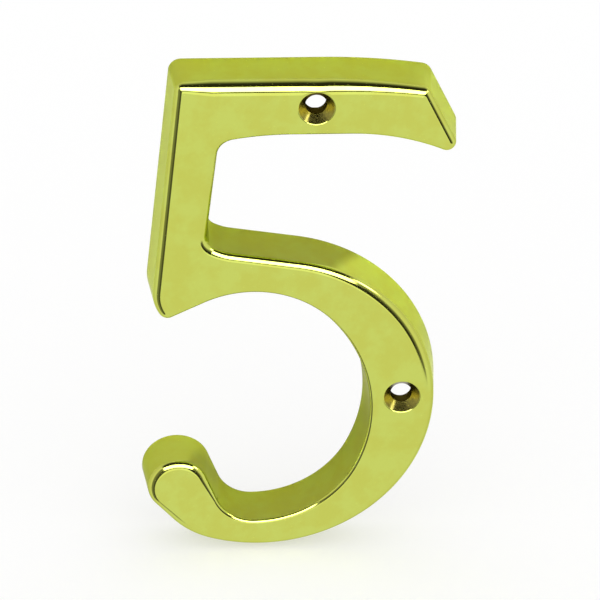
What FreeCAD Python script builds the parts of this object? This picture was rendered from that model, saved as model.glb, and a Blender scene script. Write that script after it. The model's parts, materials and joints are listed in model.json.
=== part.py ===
import FreeCAD, Part
import math
import os

# A door numeral, the figure 5, cast in brass as one piece, with a hollow back and two
# countersunk holes for wood screws. All lengths are in millimetres and angles in degrees.
#
# The figure stands upright: X runs to the right, Z up, and the polished face looks along -Y.
# The rim of the hollow back lies in the plane Y = 0, against the door. The origin is the
# middle of the back's outline.

# Section through a stroke
DEPTH = 9.0              # from the door to the face
PLATE = 3.8              # thickness of the front behind the face
WALL = 1.5               # thickness of the side walls round the hollow
DRAFT = 5.0              # lean of the side walls, which spread towards the door
EDGE_ROUND = 1.3         # polished rounding between the face and the side walls
CORNER_ROUND = 0.4       # sharp corners of the face, seen from the front

# Screw holes
HOLE_DIAMETER = 4.0
SINK_DIAMETER = 6.8      # countersink at the face
SINK_ANGLE = 82.0        # full angle of the countersink
RIM_ROUND = 0.25         # rounding of the countersink's rim
TOP_HOLE_ACROSS = 24.3   # from the upper left corner of the face
TOP_HOLE_DOWN = 3.8      # from the top edge of the face
SIDE_HOLE_INSET = 4.7    # from the outer edge of the face, on the bowl's right side
SIDE_HOLE_ANGLE = 2.5    # as seen from the centre of the bowl's lower curve, up from the X axis

# Outline of the face. An edge is described by the way its outer side looks, as an angle up
# from the X axis, and the outline is walked clockwise from its upper left corner.
UP = 90.0
DOWN = -90.0
FULL_TURN = 360.0

BAR_DROOP = 81.0         # top of the bar, where it meets the cut end
BAR_TOP_RADIUS = 115.0
END_FACING = 26.0        # slanting cut at the right end of the bar
END_LENGTH = 11.0
FLARE_FACING = -114.0    # lower side of the bar, at its right end
FLARE_RADIUS = 43.0
BAR_BELOW_LENGTH = 10.9  # straight stretch of the lower side
NECK_FACING = -80.0      # lower side of the bar, near the stem
NECK_RADIUS = 62.0
NECK_CORNER_RADIUS = 4.9

STEM_RIGHT_FACING = -5.0
STEM_RIGHT_LENGTH = 17.3
STEM_LEFT_FACING = -184.0

CROOK_FACING = 62.0      # where the corner of stem and bowl opens out
CROOK_CORNER_RADIUS = 4.2
CROOK_RADIUS = 12.0
SHOULDER_FACING = 81.0   # straight top of the bowl
SHOULDER_LENGTH = 12.5

BOWL_UPPER_RADIUS = 29.5
BOWL_SIDE_FACING = 9.0   # where the upper and the lower curve of the bowl meet
BOWL_LOWER_RADIUS = 30.5
BOWL_FOOT_FACING = -107.0
BOWL_FOOT_RADIUS = 14.5
UPPER_STROKE = 8.3       # thickness of the bowl's stroke along each of its curves
LOWER_STROKE = 9.1
FOOT_STROKE = 5.7
TAIL_FACING = -138.0     # straight edge under the tail
TAIL_LENGTH = 4.9

TAIL_OUTER_RADIUS = 4.1
TAIL_SIDE_FACING = -182.0
TAIL_TOP_RADIUS = 4.4
TAIL_INNER_FACING = -337.0
TAIL_INNER_LENGTH = 5.4

HOLLOW_LOWER_FACING = -205.0   # inside of the bowl, from the tail round to the stem
HOLLOW_SIDE_FACING = -140.0
HOLLOW_SIDE_EASE = 0.3         # how much flatter the right side is inside than outside
HOLLOW_UPPER_FACING = -63.0
FOOT_LENGTH = 7.0        # straight edge under the foot of the stem
FOOT_SIDE_FACING = -148.0      # left side of the foot, at its sharp lower tip
FOOT_SIDE_RADIUS = 7.0

# Working values
LEAST_RADIUS = 0.05      # no bend is ever sharper than this
SPARE = 1.0              # how far a cutting tool passes a surface that it opens
NEAR = 0.0001            # an edge this close to the face's plane lies in it


def outward(angle):
    """Unit vector that looks along this angle."""
    turn = math.radians(angle)
    return FreeCAD.Vector(math.cos(turn), 0, math.sin(turn))


def onward(angle):
    """Unit vector along an edge that faces this angle, walking clockwise."""
    turn = math.radians(angle)
    return FreeCAD.Vector(math.sin(turn), 0, -math.cos(turn))


def bulge(facing, radius):
    """A bend round material, which ends facing this angle."""
    return {"to": facing, "radius": radius, "side": 1.0}


def hollow(facing, radius):
    """A bend round empty space, which ends facing this angle."""
    return {"to": facing, "radius": radius, "side": -1.0}


def straight(length):
    """A straight edge. One without a length is worked out so that the outline closes."""
    return {"length": length}


def face_runs():
    """Edges of the flat face, clockwise from its upper left corner."""
    closing = None
    return [
        # bar
        straight(closing),
        bulge(BAR_DROOP, BAR_TOP_RADIUS),
        bulge(END_FACING, CORNER_ROUND),
        straight(END_LENGTH),
        bulge(FLARE_FACING, CORNER_ROUND),
        hollow(DOWN, FLARE_RADIUS),
        straight(BAR_BELOW_LENGTH),
        hollow(NECK_FACING, NECK_RADIUS),
        hollow(STEM_RIGHT_FACING, NECK_CORNER_RADIUS),
        # right side of the stem and the crook where the bowl begins
        straight(STEM_RIGHT_LENGTH),
        hollow(CROOK_FACING, CROOK_CORNER_RADIUS),
        hollow(SHOULDER_FACING, CROOK_RADIUS),
        straight(SHOULDER_LENGTH),
        # outside of the bowl and the tail
        bulge(BOWL_SIDE_FACING, BOWL_UPPER_RADIUS),
        bulge(BOWL_FOOT_FACING, BOWL_LOWER_RADIUS),
        bulge(TAIL_FACING, BOWL_FOOT_RADIUS),
        straight(TAIL_LENGTH),
        bulge(TAIL_SIDE_FACING, TAIL_OUTER_RADIUS),
        bulge(TAIL_INNER_FACING, TAIL_TOP_RADIUS),
        straight(TAIL_INNER_LENGTH),
        # inside of the bowl
        hollow(UP - FULL_TURN, BOWL_FOOT_RADIUS - FOOT_STROKE),
        hollow(HOLLOW_LOWER_FACING, BOWL_LOWER_RADIUS - LOWER_STROKE),
        hollow(HOLLOW_SIDE_FACING, BOWL_LOWER_RADIUS + HOLLOW_SIDE_EASE),
        hollow(HOLLOW_UPPER_FACING, BOWL_UPPER_RADIUS - UPPER_STROKE),
        straight(FOOT_LENGTH),
        # foot and left side of the stem
        bulge(FOOT_SIDE_FACING, CORNER_ROUND),
        bulge(STEM_LEFT_FACING, FOOT_SIDE_RADIUS),
        straight(closing),
        bulge(UP - FULL_TURN, CORNER_ROUND),
    ]


def spread_runs(spread):
    """The face's edges moved outward by a distance: bends keep their centres."""
    runs = []
    for run in face_runs():
        moved = dict(run)
        if "to" in run:
            moved["radius"] = max(run["radius"] + run["side"] * spread, LEAST_RADIUS)
        runs.append(moved)
    return runs


def run_vectors(runs):
    """The step that each bend or straight edge takes, with None where a length is open."""
    facing = UP
    steps = []
    ways = []
    for run in runs:
        ways.append(facing)
        if "to" in run:
            swing = outward(run["to"]) - outward(facing)
            steps.append(swing * (run["side"] * run["radius"]))
            facing = run["to"]
        elif run["length"] is None:
            steps.append(None)
        else:
            steps.append(onward(facing) * run["length"])
    return steps, ways


def close_runs(runs):
    """Gives the two open straight edges the lengths that bring the outline back to its start."""
    steps, ways = run_vectors(runs)
    gap = FreeCAD.Vector(0, 0, 0)
    for step in steps:
        if step is not None:
            gap = gap - step
    first, second = [index for index, step in enumerate(steps) if step is None]
    one = onward(ways[first])
    two = onward(ways[second])
    area = one.x * two.z - one.z * two.x
    runs[first]["length"] = (gap.x * two.z - gap.z * two.x) / area
    runs[second]["length"] = (one.x * gap.z - one.z * gap.x) / area
    return runs


def bend_edge(start, centre, radius, side, facing, to):
    """Arc about a centre, from one facing to another, and the point where it ends."""
    reach = side * radius
    middle = centre + outward((facing + to) / 2) * reach
    end = centre + outward(to) * reach
    return Part.Arc(start, middle, end).toShape(), end


def outline(spread, y):
    """Closed outline at a depth y, a distance outside the outline of the face."""
    runs = close_runs(spread_runs(spread))
    start = outward(UP) * spread + FreeCAD.Vector(0, y, 0)
    point = start
    facing = UP
    edges = []
    for number, run in enumerate(runs):
        last = number == len(runs) - 1
        if "to" in run:
            centre = point - outward(facing) * (run["side"] * run["radius"])
            edge, point = bend_edge(point, centre, run["radius"], run["side"], facing, run["to"])
            edges.append(edge)
            facing = run["to"]
        else:
            end = start if last else point + onward(facing) * run["length"]
            edges.append(Part.LineSegment(point, end).toShape())
            point = end
    return Part.Wire(edges)


def side_spread(y):
    """How far the side walls stand outside the face's outline at a depth y."""
    face_gap = EDGE_ROUND * math.tan(math.radians(90 - DRAFT) / 2)
    return face_gap + (y + DEPTH) * math.tan(math.radians(DRAFT))


def body():
    """The casting without its hollow and holes: leaning walls and a rounded face edge."""
    front = outline(side_spread(-DEPTH), -DEPTH)
    back = outline(side_spread(0), 0)
    block = Part.makeLoft([front, back], True, True)
    rim = []
    for edge in block.Edges:
        if edge.BoundBox.YMax < -DEPTH + NEAR:
            rim.append(edge)
    return block.makeFillet(EDGE_ROUND, rim)


def hollow_back():
    """The space behind the face, a wall's thickness inside the leaning outer sides."""
    floor_y = PLATE - DEPTH
    floor = outline(side_spread(floor_y) - WALL, floor_y)
    mouth = outline(side_spread(SPARE) - WALL, SPARE)
    return Part.makeLoft([floor, mouth], True, True)


def screw_hole(place):
    """A round hole through the front with a countersink and a softened rim."""
    hole = HOLE_DIAMETER / 2
    sink = SINK_DIAMETER / 2
    lean = math.radians(SINK_ANGLE / 2)
    sink_depth = (sink - hole) / math.tan(lean)
    half = math.radians(90 - SINK_ANGLE / 2) / 2
    lip = RIM_ROUND * math.tan(half)
    rim = sink + lip
    low = FreeCAD.Vector(sink - lip * math.sin(lean), lip * math.cos(lean) - DEPTH, 0)
    top = FreeCAD.Vector(rim, -DEPTH, 0)
    ball = FreeCAD.Vector(rim, RIM_ROUND - DEPTH, 0)
    bow = ball + FreeCAD.Vector(-math.sin(half), -math.cos(half), 0) * RIM_ROUND
    points_after = [
        FreeCAD.Vector(rim, -DEPTH - SPARE, 0),
        FreeCAD.Vector(0, -DEPTH - SPARE, 0),
        FreeCAD.Vector(0, SPARE, 0),
        FreeCAD.Vector(hole, SPARE, 0),
        FreeCAD.Vector(hole, sink_depth - DEPTH, 0),
        low,
    ]
    edges = [Part.Arc(low, bow, top).toShape()]
    point = top
    for following in points_after:
        edges.append(Part.LineSegment(point, following).toShape())
        point = following
    profile = Part.Face(Part.Wire(edges))
    turned = profile.revolve(FreeCAD.Vector(0, 0, 0), FreeCAD.Vector(0, 1, 0), FULL_TURN)
    turned.translate(place)
    return turned


def bowl_centre():
    """Centre of the bowl's lower curve, in the plane of the face's outline."""
    runs = close_runs(spread_runs(0))
    steps, ways = run_vectors(runs)
    point = FreeCAD.Vector(0, 0, 0)
    for run, step, facing in zip(runs, steps, ways):
        if run.get("to") == BOWL_FOOT_FACING:
            return point - outward(facing) * run["radius"]
        point = point + step
    raise ValueError("the bowl has no lower curve")


def hole_places():
    """Where the two screw holes are: in the bar, and in the right side of the bowl."""
    top = FreeCAD.Vector(TOP_HOLE_ACROSS, 0, -TOP_HOLE_DOWN)
    reach = BOWL_LOWER_RADIUS - SIDE_HOLE_INSET
    side = bowl_centre() + outward(SIDE_HOLE_ANGLE) * reach
    return [top, side]


def door_number():
    """The whole numeral, moved so that the middle of its back is the origin."""
    numeral = body().cut(hollow_back())
    for place in hole_places():
        numeral = numeral.cut(screw_hole(place))
    middle = outline(side_spread(0), 0).optimalBoundingBox(False, False).Center
    numeral.translate(FreeCAD.Vector(-middle.x, 0, -middle.z))
    return numeral.Solids[0]


def main():
    os.makedirs("parts", exist_ok=True)
    numeral = door_number()
    numeral.exportStep("parts/door_number.step")


main()
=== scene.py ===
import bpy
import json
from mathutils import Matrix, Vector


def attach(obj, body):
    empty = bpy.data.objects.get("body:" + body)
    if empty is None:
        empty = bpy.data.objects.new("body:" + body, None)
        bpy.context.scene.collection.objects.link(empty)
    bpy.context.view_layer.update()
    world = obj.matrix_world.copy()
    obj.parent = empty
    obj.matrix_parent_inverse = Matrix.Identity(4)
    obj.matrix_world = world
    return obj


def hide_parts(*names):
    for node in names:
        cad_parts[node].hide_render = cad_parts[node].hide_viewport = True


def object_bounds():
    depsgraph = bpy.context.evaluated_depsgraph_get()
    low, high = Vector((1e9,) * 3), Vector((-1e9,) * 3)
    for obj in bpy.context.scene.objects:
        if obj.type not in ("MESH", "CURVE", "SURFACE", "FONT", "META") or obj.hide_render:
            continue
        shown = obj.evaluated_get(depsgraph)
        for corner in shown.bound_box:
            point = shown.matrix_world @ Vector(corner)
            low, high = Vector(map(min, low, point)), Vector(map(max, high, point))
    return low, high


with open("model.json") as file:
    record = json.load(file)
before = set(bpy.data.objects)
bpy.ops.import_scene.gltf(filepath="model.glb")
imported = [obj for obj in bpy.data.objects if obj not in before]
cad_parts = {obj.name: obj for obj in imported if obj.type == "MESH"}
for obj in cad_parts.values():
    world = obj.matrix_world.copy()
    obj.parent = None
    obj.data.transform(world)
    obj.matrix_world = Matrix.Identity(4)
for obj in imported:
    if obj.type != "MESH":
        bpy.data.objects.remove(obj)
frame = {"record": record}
frame_box = [list(corner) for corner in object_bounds()]

import json
import math

import bpy
import numpy as np
from mathutils import Matrix, Vector
from mathutils.geometry import delaunay_2d_cdt

bl_info = {
    "name": "Brass Door Number",
    "version": (1, 0, 0),
    "blender": (4, 5, 0),
    "location": "View3D > Sidebar > Door Number",
    "description": "A cast and polished brass numeral with a hollow back and two screw holes",
    "category": "Add Mesh",
}

MM = 0.001
NODE = "door_number"

# Outline of the front before its edge is rounded, in millimetres and degrees. An edge is
# described by the way its outer side looks, as an angle up from the X axis, and the outline is
# walked clockwise from its upper left corner.
UP = 90.0
DOWN = -90.0
FULL_TURN = 360.0
CORNER_ROUND = 1.6

BAR_TOP_LENGTH = 5.0
BAR_DROOP = 81.0
BAR_TOP_RADIUS = 116.2
END_FACING = 26.0
END_LENGTH = 11.0
FLARE_FACING = -114.0
FLARE_RADIUS = 41.8
BAR_BELOW_LENGTH = 10.9
NECK_FACING = -80.0
NECK_RADIUS = 60.8
NECK_CORNER_RADIUS = 3.7

STEM_RIGHT_FACING = -5.0
STEM_RIGHT_LENGTH = 17.3
STEM_LEFT_FACING = -184.0
FOOT_LENGTH = 7.0
FOOT_SIDE_FACING = -148.0
FOOT_SIDE_RADIUS = 8.2

CROOK_FACING = 62.0
CROOK_CORNER_RADIUS = 3.0
CROOK_RADIUS = 10.8
SHOULDER_FACING = 81.0
SHOULDER_LENGTH = 12.5

BOWL_UPPER_RADIUS = 30.7
BOWL_SIDE_FACING = 9.0
BOWL_LOWER_RADIUS = 31.7
BOWL_FOOT_FACING = -107.0
BOWL_FOOT_RADIUS = 15.7
UPPER_STROKE = 10.7
LOWER_STROKE = 11.5
FOOT_STROKE = 8.1
TAIL_FACING = -138.0
TAIL_LENGTH = 4.9
TAIL_OUTER_RADIUS = 5.3
TAIL_SIDE_FACING = -182.0
TAIL_TOP_RADIUS = 5.6
TAIL_INNER_FACING = -337.0
TAIL_INNER_LENGTH = 5.4
HOLLOW_LOWER_FACING = -205.0
HOLLOW_SIDE_FACING = -140.0
HOLLOW_SIDE_EASE = -2.1
HOLLOW_UPPER_FACING = -63.0

# Polished rounding between the face and the sides, in millimetres. The buffing wheel reaches
# the outer edges more than the edges inside the figure.
TOP_POLISH = 2.4
TIP_POLISH = 1.7
END_POLISH = 1.25
UNDER_POLISH = 1.1
MIDDLE_POLISH = 1.5
OUTSIDE_POLISH = 1.9
TAIL_POLISH = 1.5
INSIDE_POLISH = 0.7
HOLLOW_POLISH = 0.5
STEM_POLISH = 1.6
HOLE_GAP = 0.05          # flat metal left between the rounding and a countersink

# Fineness of the mesh
ARC_STEP = 2.5           # degrees turned between two points of a bend, at most
POINT_STEP = 0.45        # millimetres between two points of the outline, at most
EDGE_RINGS = 14
WALL_RINGS = 10
BACK_RINGS = 5
RIM_RINGS = 7
CONE_RINGS = 9
BORE_RINGS = 6
HOLE_POINTS = 96
WELD = 1e-7              # metres within which two points become one
FLAT_SCALE = 1000        # a flat region is cut into triangles in millimetres
FLAT_WELD = 1e-7         # millimetres within which its points become one
INSIDE_ONLY = 1          # the triangles kept: those inside the outlines
NO_RISE = 1e-12          # stands in for the rise of a level edge, which no ray crosses

# Brightness of what the polished metal reflects, where 1 is white paper
TABLE = 0.92
FAR_TABLE = 1.25
FRONT_WALL = 0.95
BACK_WALL = 0.80
GAP = 0.03
RIGHT_GAP = 0.03
LEFT_GAP = 0.10
FAR_GAP = 0.26
PANEL_FOOT = 1.3
PANEL = 7.0

# Where the table, the gap and the lamps stand in the reflections. Heights and widths are those
# of a direction that is 1 long.
FACE_X = 0.078           # the face sends the camera what lies in this direction
FACE_Z = -0.53
TABLE_END = -0.525       # height of the table's end, except straight ahead
RIGHT_RISE = 0.06        # the end is this much higher on the right
LEFT_DROP = -0.33        # and this much lower on the left
GAP_MIDDLE = -6.0        # degrees from straight ahead to the middle of the gap
PANEL_LEAN = 0.06
GLINT_WAY = (0.81, -0.27, 0.52)  # small lamp that glints in the countersinks

# The stage's sheets
FLOOR_REACH = 1.5        # metres from the figure to each side of the floor
FLOOR_WHITE = 0.5        # share of the floor that is plain white to the camera
CARD_MARGIN = 7.0        # millimetres that the card under the figure shows round it
# painted shade: the card's duller part stands in for the shade inside the figure
CARD_MIDDLE = -2.2       # millimetres from the figure's middle to that of the duller part
CARD_SLANT = 0.03        # sideways slant of the duller part, per unit of height
# painted shade: cream above the top and round the tail, tinted yellow by light bounced off the brass
CARD_PAINTED_SHADE = "DDDCC0"
CARD_SIDES = "F8F8E9"
# painted shade inside the figure, below its bar
CARD_INSIDE_PAINTED_SHADE = "C0BDB0"

# Kinds and settings of nodes in the tables of nodes. A Mix node's sockets are 0 for the share,
# 2 and 3 for two numbers, and 6 and 7 for two colours. Its outputs are 0 for a number and 2
# for a colour.
COORDINATES = "ShaderNodeTexCoord"
AXES = "ShaderNodeSeparateXYZ"
RAYS = "ShaderNodeLightPath"
NOISE = "ShaderNodeTexNoise"
BUMP = "ShaderNodeBump"
METAL = "ShaderNodeBsdfPrincipled"
MATT = "ShaderNodeBsdfDiffuse"
END = "ShaderNodeOutputMaterial"
MATH = "ShaderNodeMath"
RANGE = "ShaderNodeMapRange"
MIX = "ShaderNodeMix"
COLOURS = {"data_type": "RGBA"}
TIMES = {"operation": "MULTIPLY"}
TIMES_PLUS = {"operation": "MULTIPLY_ADD"}
PLUS = {"operation": "ADD"}
LESS = {"operation": "SUBTRACT"}
OVER = {"operation": "DIVIDE"}
TURN = {"operation": "ARCTAN2"}
DEGREES = {"operation": "DEGREES"}
UNSIGNED = {"operation": "ABSOLUTE"}
GREATER = {"operation": "MAXIMUM"}
SOFT = {"interpolation_type": "SMOOTHSTEP"}
WHITE = (1.0, 1.0, 1.0, 1.0)

# Finishes of the casting's faces, in the order of its materials
POLISHED, TURNED, DRILLED, CAST = range(4)


class DoorNumberSizes(bpy.types.PropertyGroup):
    """Sizes of the casting's section and its screw holes, in metres and radians."""

    depth: bpy.props.FloatProperty(
        name="Depth", description="From the door to the face",
        default=frame_box[1][1] - frame_box[0][1], unit="LENGTH")
    plate: bpy.props.FloatProperty(
        name="Front plate", description="Thickness of the metal behind the face",
        default=3.8 * MM, unit="LENGTH")
    wall: bpy.props.FloatProperty(
        name="Side wall", description="Thickness of the walls round the hollow back",
        default=1.5 * MM, unit="LENGTH")
    draft: bpy.props.FloatProperty(
        name="Draft", description="Lean of the side walls, which spread towards the door",
        default=math.radians(5.0), unit="ROTATION")
    back_round: bpy.props.FloatProperty(
        name="Back edge rounding", description="Small rounding where the sides meet the rim",
        default=0.2 * MM, unit="LENGTH")
    hole_diameter: bpy.props.FloatProperty(
        name="Screw hole", description="Diameter of the clearance hole",
        default=4.0 * MM, unit="LENGTH")
    sink_diameter: bpy.props.FloatProperty(
        name="Countersink", description="Diameter of the countersink at the face",
        default=6.8 * MM, unit="LENGTH")
    sink_angle: bpy.props.FloatProperty(
        name="Countersink angle", description="Full angle of the countersink",
        default=math.radians(82.0), unit="ROTATION")
    rim_round: bpy.props.FloatProperty(
        name="Rim rounding", description="Rounding where the polish meets the countersink",
        default=0.25 * MM, unit="LENGTH")


class DoorNumberFinish(bpy.types.PropertyGroup):
    """Colours of the metal, as sRGB hex values."""

    brass: bpy.props.StringProperty(
        name="Polished brass", description="Colour of the polished metal",
        default="CED968")
    brass_deep: bpy.props.StringProperty(
        name="Brass, deeper tone", description="Colour where a thin tarnish clouds the polish",
        default="CCD25F")
    grazing: bpy.props.StringProperty(
        name="Brass, seen edge on", description="Tint of the reflection where the metal is seen edge on",
        default="F0F5C8")
    # painted shade: darker than the polished brass, for the shade in the countersinks
    turned: bpy.props.StringProperty(
        name="Turned brass", description="Colour of the countersinks",
        default="A09748")
    turned_deep: bpy.props.StringProperty(
        name="Turned brass, deeper tone", description="Colour in the tool marks",
        default="605A2C")
    # painted shade: this dark brown stands in for the shade inside the screw holes
    drilled: bpy.props.StringProperty(
        name="Drilled brass", description="Colour of the oily bores",
        default="3A2E14")
    cast: bpy.props.StringProperty(
        name="Cast brass", description="Colour of the unpolished hollow back",
        default="A9964E")
    cast_deep: bpy.props.StringProperty(
        name="Cast brass, deeper tone", description="Colour of the stains on the hollow back",
        default="7F6F3B")


class DoorNumberStage(bpy.types.PropertyGroup):
    """Where the camera stands and how much it takes in."""

    elevation: bpy.props.FloatProperty(
        name="Elevation", description="Height of the camera above the horizon",
        default=math.radians(31.98), unit="ROTATION")
    azimuth: bpy.props.FloatProperty(
        name="Azimuth", description="Turn of the camera round the figure, to its right",
        default=math.radians(-5.29), unit="ROTATION")
    roll: bpy.props.FloatProperty(
        name="Roll", description="Turn of the camera about its own axis",
        default=math.radians(2.01), unit="ROTATION")
    distance: bpy.props.FloatProperty(
        name="Distance", description="From the camera to the point that it looks at",
        default=1.5, unit="LENGTH")
    frame_width: bpy.props.FloatProperty(
        name="Width in view", description="Width that the square picture takes in, at the figure",
        default=0.11105, unit="LENGTH")
    target: bpy.props.FloatVectorProperty(
        name="Target", description="Point that the camera looks at",
        default=(0.000152, -0.0045, 0.001417), subtype="TRANSLATION")


def outward(angle):
    """Unit vectors in X and Z that look along these angles, in degrees."""
    turn = np.radians(angle)
    return np.stack([np.cos(turn), np.sin(turn)], axis=-1)


def onward(angle):
    """Unit vectors along edges that face these angles, walking clockwise."""
    turn = np.radians(angle)
    return np.stack([np.sin(turn), -np.cos(turn)], axis=-1)


def bulge(facing, radius, polish):
    """A bend round metal, which ends facing this angle, and the polished rounding at its end."""
    return {"to": facing, "radius": radius, "side": 1.0, "polish": polish}


def hollow(facing, radius, polish):
    """A bend round empty space, which ends facing this angle, and the rounding at its end."""
    return {"to": facing, "radius": radius, "side": -1.0, "polish": polish}


def straight(length, polish):
    """A straight edge and the rounding at its end. One without a length closes the outline."""
    return {"length": length, "polish": polish}


def front_runs():
    """Edges of the front, clockwise from its upper left corner."""
    closing = None
    return [
        # bar
        straight(BAR_TOP_LENGTH, TOP_POLISH),
        straight(closing, TOP_POLISH),
        bulge(BAR_DROOP, BAR_TOP_RADIUS, TIP_POLISH),
        bulge(END_FACING, CORNER_ROUND, END_POLISH),
        straight(END_LENGTH, END_POLISH),
        bulge(FLARE_FACING, CORNER_ROUND, UNDER_POLISH),
        hollow(DOWN, FLARE_RADIUS, UNDER_POLISH),
        straight(BAR_BELOW_LENGTH, UNDER_POLISH),
        hollow(NECK_FACING, NECK_RADIUS, UNDER_POLISH),
        hollow(STEM_RIGHT_FACING, NECK_CORNER_RADIUS, MIDDLE_POLISH),
        # right side of the stem and the crook where the bowl begins
        straight(STEM_RIGHT_LENGTH, MIDDLE_POLISH),
        hollow(CROOK_FACING, CROOK_CORNER_RADIUS, MIDDLE_POLISH),
        hollow(SHOULDER_FACING, CROOK_RADIUS, MIDDLE_POLISH),
        straight(SHOULDER_LENGTH, MIDDLE_POLISH),
        # outside of the bowl and the tail
        bulge(BOWL_SIDE_FACING, BOWL_UPPER_RADIUS, OUTSIDE_POLISH),
        bulge(BOWL_FOOT_FACING, BOWL_LOWER_RADIUS, OUTSIDE_POLISH),
        bulge(TAIL_FACING, BOWL_FOOT_RADIUS, OUTSIDE_POLISH),
        straight(TAIL_LENGTH, TAIL_POLISH),
        bulge(TAIL_SIDE_FACING, TAIL_OUTER_RADIUS, TAIL_POLISH),
        bulge(TAIL_INNER_FACING, TAIL_TOP_RADIUS, TAIL_POLISH),
        straight(TAIL_INNER_LENGTH, INSIDE_POLISH),
        # inside of the bowl
        hollow(UP - FULL_TURN, BOWL_FOOT_RADIUS - FOOT_STROKE, INSIDE_POLISH),
        hollow(HOLLOW_LOWER_FACING, BOWL_LOWER_RADIUS - LOWER_STROKE, INSIDE_POLISH),
        hollow(HOLLOW_SIDE_FACING, BOWL_LOWER_RADIUS + HOLLOW_SIDE_EASE, HOLLOW_POLISH),
        hollow(HOLLOW_UPPER_FACING, BOWL_UPPER_RADIUS - UPPER_STROKE, UNDER_POLISH),
        straight(FOOT_LENGTH, UNDER_POLISH),
        # foot and left side of the stem
        bulge(FOOT_SIDE_FACING, CORNER_ROUND, STEM_POLISH),
        bulge(STEM_LEFT_FACING, FOOT_SIDE_RADIUS, STEM_POLISH),
        straight(closing, STEM_POLISH),
        bulge(UP - FULL_TURN, CORNER_ROUND, STEM_POLISH),
    ]


def closed_runs():
    """The same edges, each with the way that it starts facing and the step that it takes.

    The two open lengths solve: their two directions, times the lengths, make up the gap that
    all the other steps leave.
    """
    runs = front_runs()
    facing = UP
    for run in runs:
        run["from"] = facing
        if "to" in run:
            swing = outward(run["to"]) - outward(facing)
            run["step"] = swing * run["side"] * run["radius"]
            facing = run["to"]
        elif run["length"] is not None:
            run["step"] = onward(facing) * run["length"]
    gap = -sum(run["step"] for run in runs if "step" in run)
    first, second = [run for run in runs if "step" not in run]
    ways = np.stack([onward(first["from"]), onward(second["from"])], axis=1)
    for run, length in zip((first, second), np.linalg.solve(ways, gap)):
        run["length"] = length
        run["step"] = onward(run["from"]) * length
    return runs


def walk_outline():
    """Points of the front's outline, the ways they look and the rounding there, as arrays.

    A bend's points are its centre plus outward(angle) times side and radius, at even angles,
    and a straight edge's points lie evenly along it. A point moved by a distance s along the
    way it looks lies on the outline spread by s, because spread bends keep their centres. The
    rounding goes evenly from one end of each edge to the other. All are in millimetres.
    """
    point = np.zeros(2)
    places = []
    looks = []
    polishes = []
    runs = closed_runs()
    polish = runs[-1]["polish"]
    for run in runs:
        if "to" in run:
            turn = run["to"] - run["from"]
            arc = abs(math.radians(turn)) * run["radius"]
            count = math.ceil(max(abs(turn) / ARC_STEP, arc / POINT_STEP))
            angles = run["from"] + turn * np.arange(count) / count
            centre = point - outward(run["from"]) * run["side"] * run["radius"]
            places.append(centre + outward(angles) * run["side"] * run["radius"])
        else:
            count = math.ceil(run["length"] / POINT_STEP)
            angles = np.full(count, run["from"])
            share = np.arange(count)[:, None] / count
            places.append(point + run["step"] * share)
        looks.append(outward(angles))
        polishes.append(polish + (run["polish"] - polish) * np.arange(count) / count)
        point = point + run["step"]
        polish = run["polish"]
    return np.concatenate(places), np.concatenate(looks), np.concatenate(polishes)


class Casting:
    """Collects surfaces, then welds them into one closed mesh that keeps their exact normals."""

    def __init__(self):
        self.points = []
        self.normals = []
        self.faces = []
        self.finishes = []
        self.count = 0

    def add(self, points, normals, faces, finish):
        """Adds faces over points, turned so that they look the way of the normals."""
        corner = points[faces]
        cross = np.cross(corner[:, 1] - corner[:, 0], corner[:, 2] - corner[:, 1])
        wrong = np.einsum("ij,ij->i", cross, normals[faces].mean(axis=1)) < 0
        faces = np.where(wrong[:, None], faces[:, ::-1], faces)
        self.points.append(points)
        self.normals.append(normals)
        self.faces.extend((faces + self.count).tolist())
        self.finishes.append(np.full(len(faces), finish))
        self.count += len(points)

    def add_rings(self, points, normals, finish):
        """Adds the quads between closed rings, given as arrays of ring by point by X, Y, Z."""
        turns, around = points.shape[:2]
        grid = np.arange(turns * around).reshape(turns, around)
        after = np.roll(grid, -1, axis=1)
        quads = np.stack([grid[:-1], after[:-1], after[1:], grid[1:]], axis=-1).reshape(-1, 4)
        self.add(points.reshape(-1, 3), normals.reshape(-1, 3), quads, finish)

    def add_flat(self, loops, normal, finish):
        """Adds the flat region inside the first loop and outside the others, as triangles."""
        points = np.concatenate(loops)
        flat = points[:, [0, 2]]
        edges = []
        start = 0
        for loop in loops:
            index = np.arange(start, start + len(loop))
            edges.extend(np.stack([index, np.roll(index, -1)], axis=1).tolist())
            start += len(loop)
        corners = [Vector(place) for place in flat * FLAT_SCALE]
        made = delaunay_2d_cdt(corners, edges, [], INSIDE_ONLY, FLAT_WELD)
        origin = np.array([first[0] for first in made[3]])
        triangles = origin[np.array(made[2])]
        middle = flat[triangles].mean(axis=1)
        inside = np.ones(len(triangles), bool)
        for loop in loops[1:]:
            inside &= ~inside_loop(middle, loop[:, [0, 2]])
        normals = np.tile(np.array(normal, float), (len(points), 1))
        self.add(points, normals, triangles[inside], finish)

    def mesh(self, name):
        """The welded mesh: equal points become one, and each face corner keeps its normal."""
        points = np.concatenate(self.points)
        normals = np.concatenate(self.normals)
        grain = np.round(points / WELD).astype(np.int64)
        _, first, index = np.unique(grain, axis=0, return_index=True, return_inverse=True)
        index = index.ravel()
        faces = [[int(index[corner]) for corner in face] for face in self.faces]
        mesh = bpy.data.meshes.new(name)
        mesh.from_pydata(points[first].tolist(), [], faces)
        mesh.polygons.foreach_set("material_index", np.concatenate(self.finishes))
        mesh.polygons.foreach_set("use_smooth", np.ones(len(faces), bool))
        corners = np.concatenate([np.array(face) for face in self.faces])
        mesh.normals_split_custom_set(normals[corners].tolist())
        mesh.update()
        return mesh


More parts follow.
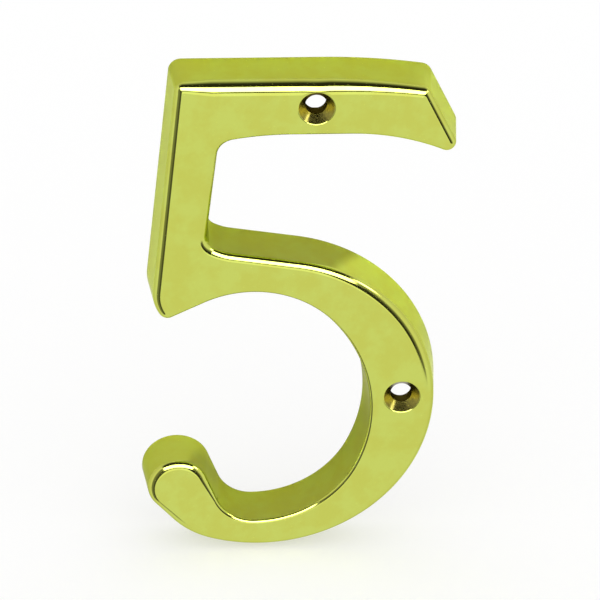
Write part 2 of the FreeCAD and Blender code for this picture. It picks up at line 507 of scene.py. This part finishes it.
def inside_loop(places, loop):
    """Which places lie inside a closed loop: a ray to the right crosses it an odd number of times."""
    after = np.roll(loop, -1, axis=0)
    x, z = places[:, 0, None], places[:, 1, None]
    straddles = (loop[:, 1] > z) != (after[:, 1] > z)
    rise = after[:, 1] - loop[:, 1]
    rise = np.where(rise == 0, NO_RISE, rise)
    crossing = loop[:, 0] + (z - loop[:, 1]) * (after[:, 0] - loop[:, 0]) / rise
    return (straddles & (x < crossing)).sum(axis=1) % 2 == 1


def side_spread(sizes, y):
    """How far the side walls stand outside the front's outline at a depth y, in metres."""
    return (y + sizes.depth) * math.tan(sizes.draft)


def numeral_outline(sizes):
    """The front's outline, its looks and its rounding, in metres, with the back centred."""
    places, looks, polish = walk_outline()
    places = places * MM
    back = places + looks * side_spread(sizes, 0)
    places = places - (back.min(axis=0) + back.max(axis=0)) / 2
    return places, looks, polish * MM


def rings(places, looks, spread, y):
    """Closed rings of points, each spread from the outline by a distance, at a depth y.

    Spread and depth are given ring by ring, or ring by ring and point by point.
    """
    flat = places + looks * by_ring(spread)[..., None]
    depth = np.broadcast_to(by_ring(y), flat.shape[:2])
    return np.stack([flat[..., 0], depth, flat[..., 1]], axis=-1)


def ring_normals(looks, aside, along):
    """Normals that lean from the outline's looks: aside along them, along in Y."""
    flat = looks * by_ring(aside)[..., None]
    depth = np.broadcast_to(by_ring(along), flat.shape[:2])
    return np.stack([flat[..., 0], depth, flat[..., 1]], axis=-1)


def by_ring(values):
    """Values as an array of ring by point, from one value a ring or from such an array."""
    values = np.asarray(values, float)
    return values if values.ndim == 2 else values.reshape(-1, 1)


def hole_rings(sizes, centre):
    """Rings, normals and finish of each stretch of a screw hole, from the face to the hollow.

    The profile is an arc of the rim's radius, a straight cone and a straight cylinder, turned
    about the hole's axis.
    """
    hole = sizes.hole_diameter / 2
    sink = sizes.sink_diameter / 2
    lean = sizes.sink_angle / 2
    tilt = math.pi / 2 - lean
    rim = sink_rim(sizes)
    seat = (sink - hole) / math.tan(lean)
    cone = np.full(CONE_RINGS, tilt)
    bore = np.ones(BORE_RINGS)

    arc = np.linspace(0, tilt, RIM_RINGS)
    rim_radius = rim - sizes.rim_round * np.sin(arc)
    rim_depth = sizes.rim_round * (1 - np.cos(arc))
    down = np.linspace(0, 1, CONE_RINGS)
    cone_radius = rim_radius[-1] + (hole - rim_radius[-1]) * down
    cone_depth = rim_depth[-1] + (seat - rim_depth[-1]) * down
    bore_depth = np.linspace(seat, sizes.plate, BORE_RINGS)
    stretches = [
        (rim_radius, rim_depth, -np.sin(arc), -np.cos(arc), POLISHED),
        (cone_radius, cone_depth, -np.sin(cone), -np.cos(cone), TURNED),
        (hole * bore, bore_depth, -bore, 0 * bore, DRILLED),
    ]
    looks = outward(-FULL_TURN * np.arange(HOLE_POINTS) / HOLE_POINTS)
    places = np.tile(centre, (HOLE_POINTS, 1))
    made = []
    for radius, depth, aside, along, finish in stretches:
        points = rings(places, looks, radius, depth - sizes.depth)
        made.append((points, ring_normals(looks, aside, along), finish))
    return made


def screw_places():
    """Centres of the screw holes in X and Z, as the record's mounts give them."""
    mounts = frame["record"]["mounts"]
    bores = [mount for mount in mounts if mount["kind"] == "bore"]
    return [np.array(bore["pos_m"])[[0, 2]] for bore in bores]


def sink_rim(sizes):
    """Radius of a countersink where its rounded rim meets the face."""
    return sizes.sink_diameter / 2 + sizes.rim_round * math.tan(math.pi / 4 - sizes.sink_angle / 4)


def edge_start(sizes, places, polish):
    """Angle at which the edge's arc starts and how far in from the outline, point by point.

    A full arc starts at 0, set in by radius times tan(half of 90 degrees less the draft). Beside
    a countersink it is set in only as far as the rim, and the same arc starts later: the sine
    of its start plus tan(draft) times the cosine falls by what the arc lost over its radius.
    """
    set_in = polish * math.tan((math.pi / 2 - sizes.draft) / 2)
    for centre in screw_places():
        room = np.hypot(*(places - centre).T) - sink_rim(sizes) - HOLE_GAP * MM
        set_in = np.minimum(set_in, room)
    lean = math.tan(sizes.draft)
    lost = math.cos(sizes.draft) + lean * math.sin(sizes.draft) - set_in / polish
    first = np.arcsin(np.clip(lost * math.cos(sizes.draft), -1, 1)) - sizes.draft
    return np.maximum(first, 0), set_in


def numeral_mesh(sizes):
    """The whole casting as one closed mesh: face, rounded edge, walls, rim, hollow and holes."""
    places, looks, polish = numeral_outline(sizes)
    casting = Casting()

    # rounded edge: an arc of the local radius, tangent to the leaning wall and, apart from
    # the stretch where a countersink cuts it short, to the face
    first, set_in = edge_start(sizes, places, polish)
    share = np.linspace(0, 1, EDGE_RINGS)[:, None]
    theta = first + (math.pi / 2 - sizes.draft - first) * share
    edge_spread = polish * (np.sin(theta) - np.sin(first)) - set_in
    edge_depth = polish * (np.cos(first) - np.cos(theta)) - sizes.depth
    edge = rings(places, looks, edge_spread, edge_depth)
    casting.add_rings(edge, ring_normals(looks, np.sin(theta), -np.cos(theta)), POLISHED)

    # side wall, down to the small rounding at the back
    theta = np.linspace(math.pi / 2 - sizes.draft, math.pi, BACK_RINGS)[:, None]
    back_in = sizes.back_round * math.tan((math.pi / 2 + sizes.draft) / 2)
    back_spread = side_spread(sizes, 0) - back_in + sizes.back_round * np.sin(theta)
    back_depth = -sizes.back_round * (1 + np.cos(theta))
    fall = np.linspace(0, 1, WALL_RINGS)[:, None]
    wall_depth = edge_depth[-1] + (back_depth[0] - edge_depth[-1]) * fall
    wall_spread = edge_spread[-1] + (back_spread[0] - edge_spread[-1]) * fall
    wall = rings(places, looks, wall_spread, wall_depth)
    steady = np.ones(WALL_RINGS)
    lean = ring_normals(looks, steady * math.cos(sizes.draft), -steady * math.sin(sizes.draft))
    casting.add_rings(wall, lean, POLISHED)
    back = rings(places, looks, back_spread, back_depth)
    casting.add_rings(back, ring_normals(looks, np.sin(theta), -np.cos(theta)), POLISHED)

    # hollow back and the flat rim round it
    rise = np.linspace(0, sizes.plate - sizes.depth, WALL_RINGS)
    inner = rings(places, looks, side_spread(sizes, rise) - sizes.wall, rise)
    casting.add_rings(inner, -lean, CAST)
    rim = np.stack([back[-1], inner[0]])
    casting.add_rings(rim, ring_normals(looks, np.zeros(2), np.ones(2)), CAST)

    rims = []
    floors = []
    for centre in screw_places():
        stretches = hole_rings(sizes, centre)
        for points, normals, finish in stretches:
            casting.add_rings(points, normals, finish)
        rims.append(stretches[0][0][0])
        floors.append(stretches[-1][0][-1])
    casting.add_flat([edge[0]] + rims, (0, -1, 0), POLISHED)
    casting.add_flat([inner[-1]] + floors, (0, 1, 0), CAST)
    return casting.mesh("casting")


def linear(code):
    """The linear RGBA colour of an sRGB hex value."""
    shares = [int(code[place:place + 2], 16) / 255 for place in (0, 2, 4)]
    return tuple(s / 12.92 if s <= 0.04045 else ((s + 0.055) / 1.055) ** 2.4 for s in shares) + (1.0,)


def add_node(tree, kind, settings, values, links):
    """Adds a node with its settings, its socket values and the links into its sockets."""
    node = tree.nodes.new(kind)
    for name, value in settings.items():
        setattr(node, name, value)
    for socket, value in values.items():
        node.inputs[socket].default_value = value
    for socket, source in links.items():
        tree.links.new(source, node.inputs[socket])
    return node


def add_nodes(tree, rows):
    """Adds nodes row by row: a name, a kind, settings, socket values and links.

    A link gives the name of an earlier row and, after a full stop, the name or the number of
    the output that it comes from. Without these it comes from the first output.
    """
    made = {}
    for name, kind, settings, values, links in rows:
        sources = {}
        for socket, source in links.items():
            row, _, output = source.partition(".")
            outputs = made[row].outputs
            sources[socket] = outputs[int(output)] if output.isdigit() else outputs[output or 0]
        made[name] = add_node(tree, kind, settings, values, sources)


def new_material(name):
    """An empty node material and its tree."""
    material = bpy.data.materials.new(name)
    material.use_nodes = True
    material.node_tree.nodes.clear()
    return material, material.node_tree


def polished_brass(finish):
    """Yellow brass, cast, filed and buffed: bright, with faint wheel marks and a cloudy tone.

    The wheel marks run up the figure. Real ones are too fine to show, so these are coarser.
    """
    material, tree = new_material("buffed cast brass")
    add_nodes(tree, [
        ("place", COORDINATES, {}, {}, {}),
        ("clouds", NOISE, {}, {"Scale": 1 / (5 * MM), "Detail": 4.0, "Roughness": 0.62},
         {"Vector": "place.Object"}),
        ("share", RANGE, SOFT, {"From Min": 0.36, "From Max": 0.64}, {"Value": "clouds.Fac"}),
        ("tone", MIX, COLOURS, {6: linear(finish.brass), 7: linear(finish.brass_deep)},
         {0: "share"}),
        ("stretched", "ShaderNodeMapping", {}, {"Scale": (1.0, 1.0, 0.06)},
         {"Vector": "place.Object"}),
        ("marks", NOISE, {}, {"Scale": 1 / (0.5 * MM), "Detail": 2.0, "Roughness": 0.5},
         {"Vector": "stretched"}),
        ("gloss", RANGE, {}, {"To Min": 0.06, "To Max": 0.13}, {"Value": "marks.Fac"}),
        ("bump", BUMP, {}, {"Strength": 0.04, "Distance": 0.05 * MM}, {"Height": "marks.Fac"}),
        ("metal", METAL, {}, {"Metallic": 1.0, "Specular Tint": linear(finish.grazing)},
         {"Base Color": "tone.2", "Roughness": "gloss", "Normal": "bump"}),
        ("end", END, {}, {}, {"Surface": "metal"}),
    ])
    return material


def turned_brass(finish):
    """Brass cut by a countersink, mottled where the tool chattered. Its colour is darker than the
    polished brass: painted shade in the recess.

    The chatter is drawn coarser than the real one, so that it shows.
    """
    material, tree = new_material("turned brass")
    add_nodes(tree, [
        ("place", COORDINATES, {}, {}, {}),
        ("chatter", NOISE, {}, {"Scale": 1 / (0.8 * MM), "Detail": 3.0, "Roughness": 0.6},
         {"Vector": "place.Object"}),
        # painted shade: both colours are darker than the polish, for the shade in the recess; the mix
        # between them follows the tool chatter
        ("tone", MIX, COLOURS, {6: linear(finish.turned), 7: linear(finish.turned_deep)},
         {0: "chatter.Fac"}),
        ("bump", BUMP, {}, {"Strength": 0.5, "Distance": 0.06 * MM}, {"Height": "chatter.Fac"}),
        ("metal", METAL, {}, {"Metallic": 1.0, "Roughness": 0.22},
         {"Base Color": "tone.2", "Normal": "bump"}),
        ("end", END, {}, {}, {"Surface": "metal"}),
    ])
    return material


def drilled_brass(finish):
    """The drilled bore: never polished. Its dark brown colour and dark reflection tint are painted
    shade, standing in for the shade inside the hole.
    """
    material, tree = new_material("drilled brass")
    add_nodes(tree, [
        ("place", COORDINATES, {}, {}, {}),
        ("grain", NOISE, {}, {"Scale": 1 / (0.3 * MM), "Detail": 3.0, "Roughness": 0.6},
         {"Vector": "place.Object"}),
        # painted shade: the bore's dark colours stand in for the shade inside the hole
        ("tone", MIX, COLOURS, {6: linear(finish.drilled), 7: linear(finish.turned_deep)},
         {0: "grain.Fac"}),
        ("bump", BUMP, {}, {"Strength": 0.5, "Distance": 0.05 * MM}, {"Height": "grain.Fac"}),
        # painted shade: the dark tint darkens the bore's reflection as the shade inside the hole would
        ("metal", METAL, {},
         {"Metallic": 1.0, "Roughness": 0.5, "Specular Tint": linear(finish.turned_deep)},
         {"Base Color": "tone.2", "Normal": "bump"}),
        ("end", END, {}, {}, {"Surface": "metal"}),
    ])
    return material


def cast_brass(finish):
    """Brass as it leaves the sand mould: dull, brownish and grainy, seen only from behind."""
    material, tree = new_material("sand cast brass")
    add_nodes(tree, [
        ("place", COORDINATES, {}, {}, {}),
        ("grain", NOISE, {}, {"Scale": 1 / (0.7 * MM), "Detail": 4.0, "Roughness": 0.6},
         {"Vector": "place.Object"}),
        ("stain", NOISE, {}, {"Scale": 1 / (9 * MM), "Detail": 3.0, "Roughness": 0.5},
         {"Vector": "place.Object"}),
        ("tone", MIX, COLOURS, {6: linear(finish.cast), 7: linear(finish.cast_deep)},
         {0: "stain.Fac"}),
        ("bump", BUMP, {}, {"Strength": 0.6, "Distance": 0.15 * MM}, {"Height": "grain.Fac"}),
        ("gloss", RANGE, {}, {"To Min": 0.42, "To Max": 0.6}, {"Value": "grain.Fac"}),
        ("metal", METAL, {}, {"Metallic": 1.0},
         {"Base Color": "tone.2", "Roughness": "gloss", "Normal": "bump"}),
        ("end", END, {}, {}, {"Surface": "metal"}),
    ])
    return material


class MESH_OT_door_number(bpy.types.Operator):
    """Makes the cast and polished numeral"""

    bl_idname = "mesh.door_number"
    bl_label = "Numeral"

    def execute(self, context):
        sizes = context.scene.door_number_sizes
        finish = context.scene.door_number_finish
        mesh = numeral_mesh(sizes)
        for maker in (polished_brass, turned_brass, drilled_brass, cast_brass):
            mesh.materials.append(maker(finish))
        numeral = bpy.data.objects.new("numeral", mesh)
        context.scene.collection.objects.link(numeral)
        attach(numeral, "root")
        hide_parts(NODE)
        return {"FINISHED"}


def studio_world():
    """A white studio. Polished metal sees a lamp panel, the dark gap round it and pale walls.

    A direction is told by its rise, the angle from straight ahead of the face up and over the
    top, its swing, the angle round to the right, both in degrees, and its height and width.
    All rays but the metal's reflections see plain white.
    """
    world = bpy.data.worlds.new("studio")
    world.use_nodes = True
    tree = world.node_tree
    tree.nodes.clear()
    add_nodes(tree, [
        ("way", COORDINATES, {}, {}, {}),
        ("axes", AXES, {}, {}, {"Vector": "way.Generated"}),
        ("ahead", MATH, TIMES, {1: -1.0}, {0: "axes.Y"}),
        ("rise turn", MATH, TURN, {}, {0: "axes.Z", 1: "ahead"}),
        ("rise", MATH, DEGREES, {}, {0: "rise turn"}),
        ("swing turn", MATH, TURN, {}, {0: "axes.X", 1: "ahead"}),
        ("swing", MATH, DEGREES, {}, {0: "swing turn"}),
        ("width", MATH, UNSIGNED, {}, {0: "axes.X"}),

        # pale table in front: straight ahead it reaches the horizon, and beside that it ends
        # lower, a little less so on the right and more so on the left
        ("not right", RANGE, SOFT, {"From Min": 18.0, "From Max": 14.0}, {"Value": "swing"}),
        ("not left", RANGE, SOFT, {"From Min": -17.0, "From Max": -12.0}, {"Value": "swing"}),
        ("straight", MATH, TIMES, {}, {0: "not right", 1: "not left"}),
        ("right", RANGE, SOFT, {"From Min": 12.0, "From Max": 25.0}, {"Value": "swing"}),
        ("left", RANGE, SOFT, {"From Min": -12.0, "From Max": -17.0}, {"Value": "swing"}),
        ("end ahead", MATH, TIMES_PLUS, {1: -TABLE_END, 2: TABLE_END}, {0: "straight"}),
        ("end right", MATH, TIMES_PLUS, {1: RIGHT_RISE}, {0: "right", 2: "end ahead"}),
        ("table end", MATH, TIMES_PLUS, {1: LEFT_DROP}, {0: "left", 2: "end right"}),
        ("over end", MATH, LESS, {}, {0: "axes.Z", 1: "table end"}),
        ("over table", RANGE, SOFT, {"From Min": -0.01, "From Max": 0.055}, {"Value": "over end"}),

        # dark gap between the table, the lamp panel and the walls
        ("before top", RANGE, SOFT, {"From Min": 121.0, "From Max": 82.0}, {"Value": "rise"}),
        ("off centre", MATH, LESS, {1: GAP_MIDDLE}, {0: "swing"}),
        ("spread", MATH, UNSIGNED, {}, {0: "off centre"}),
        ("near", RANGE, SOFT, {"From Min": 64.0, "From Max": 52.0}, {"Value": "spread"}),
        ("above panel", RANGE, SOFT, {"From Min": 42.0, "From Max": 50.0}, {"Value": "rise"}),
        ("narrow", RANGE, SOFT, {"From Min": 0.8, "From Max": 0.7}, {"Value": "width"}),
        ("high", MATH, TIMES, {}, {0: "above panel", 1: "narrow"}),
        ("near or high", MATH, GREATER, {}, {0: "near", 1: "high"}),
        ("under top", MATH, TIMES, {}, {0: "over table", 1: "before top"}),
        ("gap", MATH, TIMES, {}, {0: "under top", 1: "near or high"}),
        ("gap side", RANGE, {}, {"To Min": RIGHT_GAP, "To Max": LEFT_GAP}, {"Value": "left"}),
        ("off ahead", MATH, UNSIGNED, {}, {0: "swing"}),
        ("far round", RANGE, SOFT, {"From Min": 30.0, "From Max": 46.0}, {"Value": "off ahead"}),
        ("gap light", MIX, {}, {3: FAR_GAP}, {0: "far round", 2: "gap side"}),
        ("gap level", MIX, {}, {3: GAP}, {0: "high", 2: "gap light"}),

        # lamp panel, which widens upwards
        ("panel x", MATH, LESS, {1: FACE_X}, {0: "axes.X"}),
        ("panel z", MATH, LESS, {1: FACE_Z}, {0: "axes.Z"}),
        ("slope", MATH, OVER, {}, {0: "panel x", 1: "panel z"}),
        ("lean", MATH, PLUS, {1: PANEL_LEAN}, {0: "slope"}),
        ("side", MATH, UNSIGNED, {}, {0: "lean"}),
        ("panel foot", RANGE, SOFT, {"From Min": 10.5, "From Max": 13.5}, {"Value": "rise"}),
        ("panel head", RANGE, SOFT, {"From Min": 54.0, "From Max": 49.0}, {"Value": "rise"}),
        ("panel side", RANGE, SOFT, {"From Min": 0.68, "From Max": 0.60}, {"Value": "side"}),
        ("tall", MATH, TIMES, {}, {0: "panel foot", 1: "panel head"}),
        ("panel", MATH, TIMES, {}, {0: "tall", 1: "panel side"}),
        ("lamp", RANGE, SOFT,
         {"From Min": 10.0, "From Max": 16.0, "To Min": PANEL_FOOT, "To Max": PANEL},
         {"Value": "rise"}),

        # all of it, one over the other
        ("far table", MIX, {}, {2: FRONT_WALL, 3: FAR_TABLE}, {0: "straight"}),
        ("far", RANGE, SOFT, {"From Min": -0.51, "From Max": -0.42}, {"Value": "axes.Z"}),
        ("front", MIX, {}, {2: TABLE}, {0: "far", 3: "far table"}),
        ("in front", RANGE, SOFT, {"From Min": -0.2, "From Max": 0.2}, {"Value": "ahead"}),
        ("walls", MIX, {}, {2: BACK_WALL}, {0: "in front", 3: "front"}),
        ("with gap", MIX, {}, {}, {0: "gap", 2: "walls", 3: "gap level"}),
        ("with panel", MIX, {}, {}, {0: "panel", 2: "with gap", 3: "lamp"}),
        ("towards glint", "ShaderNodeVectorMath", {"operation": "DOT_PRODUCT"},
         {1: GLINT_WAY}, {0: "way.Generated"}),
        ("glint", RANGE, SOFT, {"From Min": 0.988, "From Max": 0.996},
         {"Value": "towards glint.Value"}),
        ("reflected", MIX, {}, {3: PANEL}, {0: "glint", 2: "with panel"}),
        ("rays", RAYS, {}, {}, {}),
        ("level", MIX, {}, {2: 1.0}, {0: "rays.Is Glossy Ray", 3: "reflected"}),
        ("light", "ShaderNodeBackground", {}, {"Color": WHITE}, {"Strength": "level"}),
        ("world", "ShaderNodeOutputWorld", {}, {}, {"Surface": "light"}),
    ])
    # it isn't sampled as a lamp, because its panel is only there for reflections
    world.cycles.sampling_method = "NONE"
    return world


def floor_material():
    """Matt white card, half of it plain white to the camera, so that its soft shadow is faint."""
    material, tree = new_material("matt white card")
    add_nodes(tree, [
        ("rays", RAYS, {}, {}, {}),
        ("share", MATH, TIMES, {1: FLOOR_WHITE}, {0: "rays.Is Camera Ray"}),
        ("matt", MATT, {}, {"Color": WHITE}, {}),
        ("plain", "ShaderNodeEmission", {}, {"Color": WHITE, "Strength": 1.0}, {}),
        ("card", "ShaderNodeMixShader", {}, {}, {0: "share", 1: "matt", 2: "plain"}),
        ("end", END, {}, {}, {"Surface": "card"}),
    ])
    return material


def card_with_painted_shade():
    """White card with painted shade: white beside the figure, cream above and below it and duller inside
    it. The cream is painted shade tinted yellow by light bounced off the brass, and the duller part is
    deeper painted shade.
    """
    material, tree = new_material("card with painted shade")
    add_nodes(tree, [
        ("place", COORDINATES, {}, {}, {}),
        ("axes", AXES, {}, {}, {"Vector": "place.Object"}),

        # white on the right, and between the tail and the top
        ("right", RANGE, SOFT, {"From Min": 20 * MM, "From Max": 28 * MM}, {"Value": "axes.X"}),
        ("over tail", RANGE, SOFT, {"From Min": -20 * MM, "From Max": -5 * MM},
         {"Value": "axes.Z"}),
        ("under top", RANGE, SOFT, {"From Min": 50 * MM, "From Max": 46 * MM},
         {"Value": "axes.Z"}),
        ("middle", MATH, TIMES, {}, {0: "over tail", 1: "under top"}),
        ("beside", MATH, GREATER, {}, {0: "right", 1: "middle"}),

        # painted shade: duller inside the figure, below its bar
        ("slanted", MATH, TIMES_PLUS, {1: CARD_SLANT}, {0: "axes.Z", 2: "axes.X"}),
        ("off middle", MATH, LESS, {1: CARD_MIDDLE * MM}, {0: "slanted"}),
        ("aside", MATH, UNSIGNED, {}, {0: "off middle"}),
        ("between", RANGE, SOFT, {"From Min": 15.5 * MM, "From Max": 12.1 * MM},
         {"Value": "aside"}),
        ("below bar", RANGE, SOFT, {"From Min": 46 * MM, "From Max": 38 * MM},
         {"Value": "axes.Z"}),
        ("inside", MATH, TIMES, {}, {0: "between", 1: "below bar"}),

        # painted shade: cream above the top and round the tail, white beside the figure
        ("pale", MIX, COLOURS, {6: linear(CARD_PAINTED_SHADE), 7: linear(CARD_SIDES)}, {0: "beside"}),
        # painted shade: duller inside the figure
        ("tone", MIX, COLOURS, {7: linear(CARD_INSIDE_PAINTED_SHADE)}, {0: "inside", 6: "pale.2"}),
        ("card", MATT, {}, {}, {"Color": "tone.2"}),
        ("end", END, {}, {}, {"Surface": "card"}),
    ])
    return material


def flat_sheet(name, corners, material):
    """A flat four-cornered sheet of the stage."""
    mesh = bpy.data.meshes.new(name)
    mesh.from_pydata(corners, [], [[0, 1, 2, 3]])
    mesh.materials.append(material)
    sheet = bpy.data.objects.new(name, mesh)
    bpy.context.scene.collection.objects.link(sheet)
    return sheet


def backing_card(sizes):
    """Card that the figure lies on, cut out behind it, seen only in the metal's sides."""
    places, looks, _ = numeral_outline(sizes)
    cut = rings(places, looks, [side_spread(sizes, 0)], [0.0])[0]
    wide = frame_box[1][0] + CARD_MARGIN * MM
    high = frame_box[1][2] + CARD_MARGIN * MM
    sheet = np.array([(-wide, 0, -high), (wide, 0, -high), (wide, 0, high), (-wide, 0, high)])
    card = Casting()
    card.add_flat([sheet, cut], (0, -1, 0), finish=0)
    mesh = card.mesh("backing card")
    mesh.materials.append(card_with_painted_shade())
    backing = bpy.data.objects.new("backing card", mesh)
    bpy.context.scene.collection.objects.link(backing)
    backing.visible_camera = False
    backing.visible_diffuse = False
    backing.visible_shadow = False


def photo_camera(stage):
    """Camera at the photograph's viewing angle, far off, so that the figure is drawn nearly flat."""
    turn, height, tilt = stage.azimuth, stage.elevation, stage.roll
    back = Vector((
        math.sin(turn) * math.cos(height),
        -math.cos(turn) * math.cos(height),
        math.sin(height)))
    level = Vector((math.cos(turn), math.sin(turn), 0))
    steep = back.cross(level)
    right = level * math.cos(tilt) + steep * math.sin(tilt)
    up = steep * math.cos(tilt) - level * math.sin(tilt)
    data = bpy.data.cameras.new("photo camera")
    data.sensor_width = 36.0
    data.lens = data.sensor_width * stage.distance / stage.frame_width
    data.clip_end = 10.0
    camera = bpy.data.objects.new("photo camera", data)
    place = Vector(stage.target) + back * stage.distance
    turned = Matrix((right, up, back)).transposed().to_4x4()
    camera.matrix_world = Matrix.Translation(place) @ turned
    return camera


class SCENE_OT_door_number_stage(bpy.types.Operator):
    """Sets the floor, the light and the camera"""

    bl_idname = "scene.door_number_stage"
    bl_label = "Stage"

    def execute(self, context):
        scene = context.scene
        stage = scene.door_number_stage
        ground = frame_box[0][2]
        floor = flat_sheet("floor", [
            (-FLOOR_REACH, -FLOOR_REACH, ground), (FLOOR_REACH, -FLOOR_REACH, ground),
            (FLOOR_REACH, FLOOR_REACH, ground), (-FLOOR_REACH, FLOOR_REACH, ground),
        ], floor_material())
        floor.visible_glossy = False
        backing_card(scene.door_number_sizes)
        scene.world = studio_world()
        camera = photo_camera(stage)
        scene.collection.objects.link(camera)
        scene.camera = camera
        scene.view_settings.view_transform = "Standard"
        return {"FINISHED"}


class VIEW3D_PT_door_number(bpy.types.Panel):
    """Sizes, colours and steps of the door number"""

    bl_idname = "VIEW3D_PT_door_number"
    bl_label = "Door Number"
    bl_space_type = "VIEW_3D"
    bl_region_type = "UI"
    bl_category = "Door Number"

    def draw(self, context):
        scene = context.scene
        for group in (scene.door_number_sizes, scene.door_number_finish, scene.door_number_stage):
            for name in group.__annotations__:
                self.layout.prop(group, name)
        for maker in STEPS:
            self.layout.operator(maker.bl_idname)


GROUPS = (DoorNumberSizes, DoorNumberFinish, DoorNumberStage)
STEPS = (MESH_OT_door_number, SCENE_OT_door_number_stage)


def register():
    for entry in GROUPS + STEPS + (VIEW3D_PT_door_number,):
        bpy.utils.register_class(entry)
    scene = bpy.types.Scene
    scene.door_number_sizes = bpy.props.PointerProperty(type=DoorNumberSizes)
    scene.door_number_finish = bpy.props.PointerProperty(type=DoorNumberFinish)
    scene.door_number_stage = bpy.props.PointerProperty(type=DoorNumberStage)


def unregister():
    scene = bpy.types.Scene
    del scene.door_number_stage
    del scene.door_number_finish
    del scene.door_number_sizes
    for entry in reversed(GROUPS + STEPS + (VIEW3D_PT_door_number,)):
        bpy.utils.unregister_class(entry)


def main():
    register()
    bpy.ops.mesh.door_number()
    bpy.ops.scene.door_number_stage()


if __name__ == "__main__":
    main()
